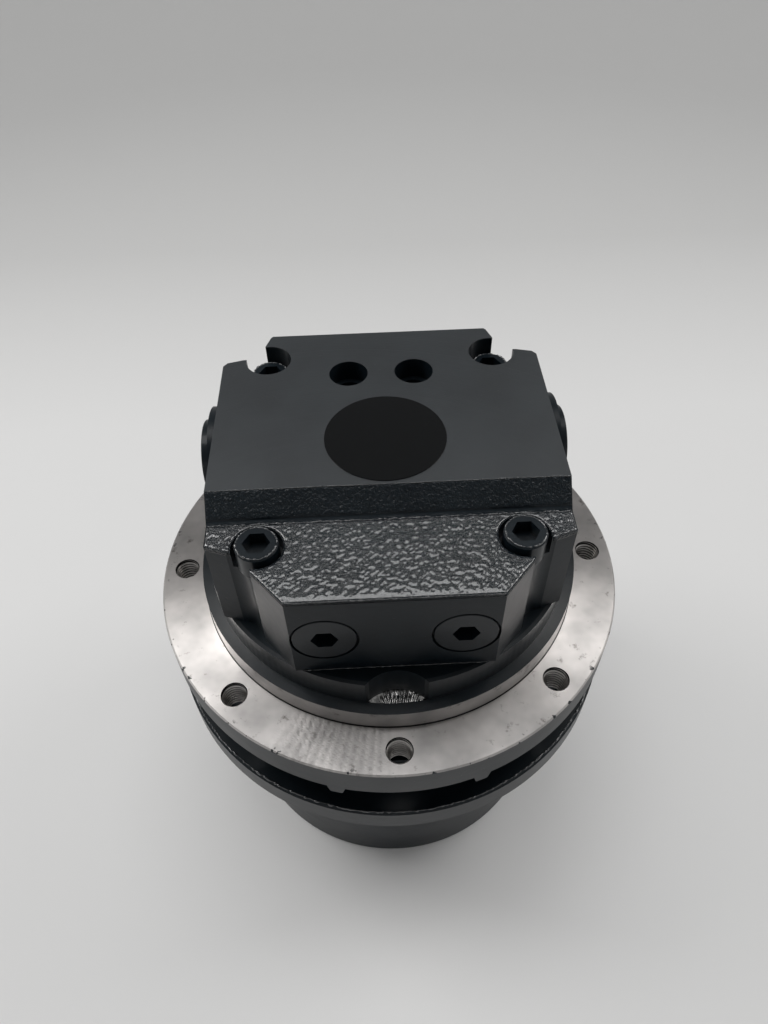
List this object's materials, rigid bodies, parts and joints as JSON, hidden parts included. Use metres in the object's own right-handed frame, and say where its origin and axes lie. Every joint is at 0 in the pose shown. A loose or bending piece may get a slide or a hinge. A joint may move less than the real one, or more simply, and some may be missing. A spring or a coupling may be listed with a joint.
{
  "type": "excavator final drive",
  "caption": "Hydraulic travel motor with planetary final drive: a fixed spindle with bolting flange and valve cover, and a turning sprocket hub.",
  "frame": {"origin": "on the drive axis, in the plane of the machined face that bolts to the track frame", "axes": "+Z along the drive axis towards the valve cover, -Y towards the cover's front with the two round plugs, +X to the right seen from that front"},
  "size_m": [0.2332, 0.2332, 0.2539],
  "materials": {
    "housing_paint": "glossy paint over cast iron, machined joint faces",
    "cover_paint": "glossy paint over cast iron",
    "fastener_black": "painted high-strength screws",
    "hub_paint": "glossy paint over cast iron",
    "plate_black": "blank glossy film",
    "gear_steel": "ground case-hardened steel",
    "bearing_steel": "polished bearing steel",
    "cage_steel": "pressed sheet steel",
    "bronze": "sintered bronze",
    "seal_rubber": "matt moulded rubber",
    "spring_steel": "oil-tempered spring steel",
    "block_iron": "machined fine-grained iron",
    "friction_lining": "sintered friction lining on steel"
  },
  "bodies": {
    "housing": {"spindle_housing": "housing_paint", "cover_seal": "seal_rubber", "end_cover": "cover_paint", "cover_screws": "fastener_black", "front_plugs": "fastener_black", "valve_caps": "fastener_black", "name_plate": "plate_black", "upper_bearing_inner_ring": "bearing_steel", "lower_bearing_inner_ring": "bearing_steel", "bearing_spacer": "gear_steel", "bearing_nut": "gear_steel", "fixed_seal_ring": "block_iron", "fixed_seal_rubber": "seal_rubber", "second_planet_pins": "bearing_steel", "second_planet_bushes": "bronze", "shaft_bush": "bronze", "shaft_bearing_outer_ring": "bearing_steel", "shaft_seal": "seal_rubber", "valve_plate": "bronze", "swash_plate": "block_iron", "brake_plates": "gear_steel", "brake_spring": "spring_steel", "left_spool_spring": "spring_steel", "right_spool_spring": "spring_steel"},
    "hub": {"hub": "hub_paint", "upper_bearing_outer_ring": "bearing_steel", "lower_bearing_outer_ring": "bearing_steel", "turning_seal_ring": "block_iron", "turning_seal_rubber": "seal_rubber", "ring_gear": "gear_steel", "hub_cover": "hub_paint", "hub_cover_screws": "fastener_black", "oil_plugs": "fastener_black", "thrust_button": "gear_steel"},
    "upper_roller_set": {"upper_bearing_rollers": "bearing_steel", "upper_bearing_cage": "cage_steel"},
    "lower_roller_set": {"lower_bearing_rollers": "bearing_steel", "lower_bearing_cage": "cage_steel"},
    "first_carrier": {"first_carrier": "gear_steel", "first_planet_pins": "bearing_steel", "first_planet_bushes": "bronze", "second_sun_gear": "gear_steel"},
    "first_planet_1": {"first_planet_1": "gear_steel"},
    "first_planet_2": {"first_planet_2": "gear_steel"},
    "first_planet_3": {"first_planet_3": "gear_steel"},
    "second_planet_1": {"second_planet_1": "gear_steel"},
    "second_planet_2": {"second_planet_2": "gear_steel"},
    "second_planet_3": {"second_planet_3": "gear_steel"},
    "motor_shaft": {"motor_shaft": "gear_steel", "cylinder_block": "block_iron", "pistons": "bearing_steel", "retainer_guide": "bronze", "friction_discs": "friction_lining", "shaft_bearing_inner_ring": "bearing_steel", "input_sun_gear": "gear_steel"},
    "shaft_roller_set": {"shaft_bearing_rollers": "bearing_steel"},
    "slipper_set": {"slippers": "bronze", "retainer_plate": "gear_steel"},
    "spool": {"counterbalance_spool": "gear_steel"},
    "brake_piston": {"brake_piston": "block_iron"}
  },
  "joints": [
    {"name": "hub_spin", "type": "hinge", "parent": "housing", "child": "hub", "pos_m": [0, 0, 0], "axis": [0, 0, 1], "continuous": true},
    {"name": "upper_roller_set_spin", "type": "hinge", "parent": "housing", "child": "upper_roller_set", "pos_m": [0, 0, -0.048], "axis": [0, 0, 1], "continuous": true},
    {"name": "lower_roller_set_spin", "type": "hinge", "parent": "housing", "child": "lower_roller_set", "pos_m": [0, 0, -0.072], "axis": [0, 0, 1], "continuous": true},
    {"name": "carrier_spin", "type": "hinge", "parent": "housing", "child": "first_carrier", "pos_m": [0, 0, -0.12375], "axis": [0, 0, 1], "continuous": true},
    {"name": "first_planet_1_spin", "type": "hinge", "parent": "first_carrier", "child": "first_planet_1", "pos_m": [0.04387, 0, -0.133], "axis": [0, 0, 1], "continuous": true},
    {"name": "first_planet_2_spin", "type": "hinge", "parent": "first_carrier", "child": "first_planet_2", "pos_m": [-0.02194, 0.038, -0.133], "axis": [0, 0, 1], "continuous": true},
    {"name": "first_planet_3_spin", "type": "hinge", "parent": "first_carrier", "child": "first_planet_3", "pos_m": [-0.02194, -0.038, -0.133], "axis": [0, 0, 1], "continuous": true},
    {"name": "second_planet_1_spin", "type": "hinge", "parent": "housing", "child": "second_planet_1", "pos_m": [0.04725, 0, -0.107], "axis": [0, 0, 1], "continuous": true},
    {"name": "second_planet_2_spin", "type": "hinge", "parent": "housing", "child": "second_planet_2", "pos_m": [-0.02363, 0.04092, -0.107], "axis": [0, 0, 1], "continuous": true},
    {"name": "second_planet_3_spin", "type": "hinge", "parent": "housing", "child": "second_planet_3", "pos_m": [-0.02363, -0.04092, -0.107], "axis": [0, 0, 1], "continuous": true},
    {"name": "shaft_spin", "type": "hinge", "parent": "housing", "child": "motor_shaft", "pos_m": [0, 0, -0.05], "axis": [0, 0, 1], "continuous": true, "deforming": ["pistons"]},
    {"name": "shaft_roller_set_spin", "type": "hinge", "parent": "housing", "child": "shaft_roller_set", "pos_m": [0, 0, -0.08], "axis": [0, 0, 1], "continuous": true},
    {"name": "slipper_set_spin", "type": "hinge", "parent": "housing", "child": "slipper_set", "pos_m": [0, 0, -0.05], "axis": [0, -0.2588, 0.9659], "continuous": true},
    {"name": "spool_slide", "type": "slide", "parent": "housing", "child": "spool", "axis": [1, 0, 0], "range_m": [-0.005, 0.005], "stiffness_N_per_m": 20000, "deforming": ["left_spool_spring", "right_spool_spring"]},
    {"name": "brake_release", "type": "slide", "parent": "housing", "child": "brake_piston", "axis": [0, 0, 1], "range_m": [0, 0.0015], "stiffness_N_per_m": 60000, "springref_m": -0.001, "deforming": ["brake_spring"]}
  ],
  "couplings": [
    {"joint": "upper_roller_set_spin", "follows": "hub_spin", "ratio": 0.5263},
    {"joint": "lower_roller_set_spin", "follows": "hub_spin", "ratio": 0.5263},
    {"joint": "carrier_spin", "follows": "hub_spin", "ratio": -3.6667},
    {"joint": "first_planet_1_spin", "follows": "hub_spin", "ratio": 11.407},
    {"joint": "first_planet_2_spin", "follows": "hub_spin", "ratio": 11.407},
    {"joint": "first_planet_3_spin", "follows": "hub_spin", "ratio": 11.407},
    {"joint": "second_planet_1_spin", "follows": "hub_spin", "ratio": 2.75},
    {"joint": "second_planet_2_spin", "follows": "hub_spin", "ratio": 2.75},
    {"joint": "second_planet_3_spin", "follows": "hub_spin", "ratio": 2.75},
    {"joint": "shaft_spin", "follows": "hub_spin", "ratio": -29.333},
    {"joint": "shaft_roller_set_spin", "follows": "hub_spin", "ratio": -13.265},
    {"joint": "slipper_set_spin", "follows": "hub_spin", "ratio": -29.333}
  ]
}
